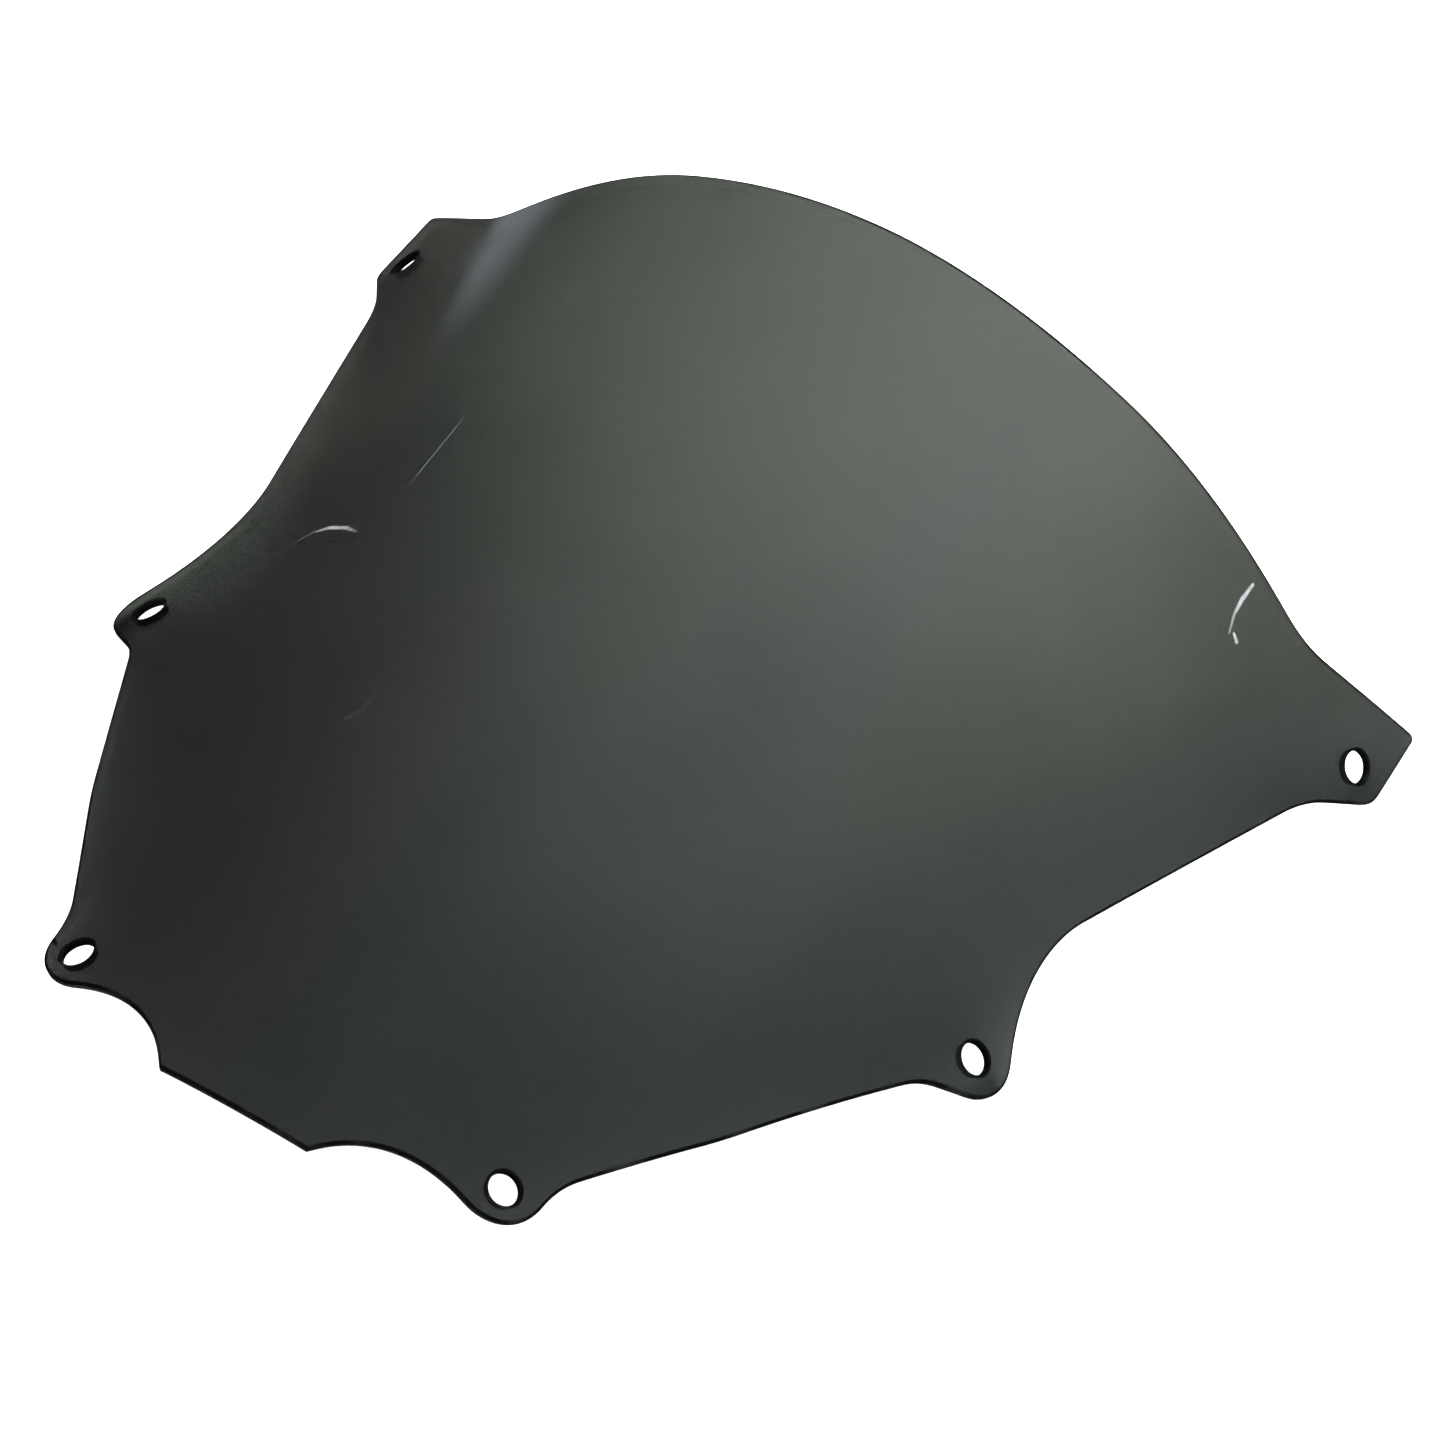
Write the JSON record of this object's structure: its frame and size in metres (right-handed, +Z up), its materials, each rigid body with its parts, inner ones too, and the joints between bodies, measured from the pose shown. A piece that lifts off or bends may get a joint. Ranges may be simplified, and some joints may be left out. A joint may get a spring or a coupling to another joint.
{
  "type": "windshield screen",
  "caption": "Smoked transparent motorcycle windscreen: a thin bubble-formed sheet that bolts over a fairing nose through lobes with round fixing holes.",
  "frame": {"origin": "bottom centre of the bounding box: on the plane the sheet stands on with its convex side up, midway between its left and right edges and midway along its length", "axes": "+Z up, out of the convex side; +Y from the nose (fairing) end to the tall tail edge on the rider's side; +X to the right as the nose is looked at with the tail away from the viewer"},
  "size_m": [0.3628, 0.4128, 0.1402],
  "materials": {
    "smoked_acrylic": "gloss"
  },
  "bodies": {
    "root": {"windscreen": "smoked_acrylic"}
  },
  "joints": []
}
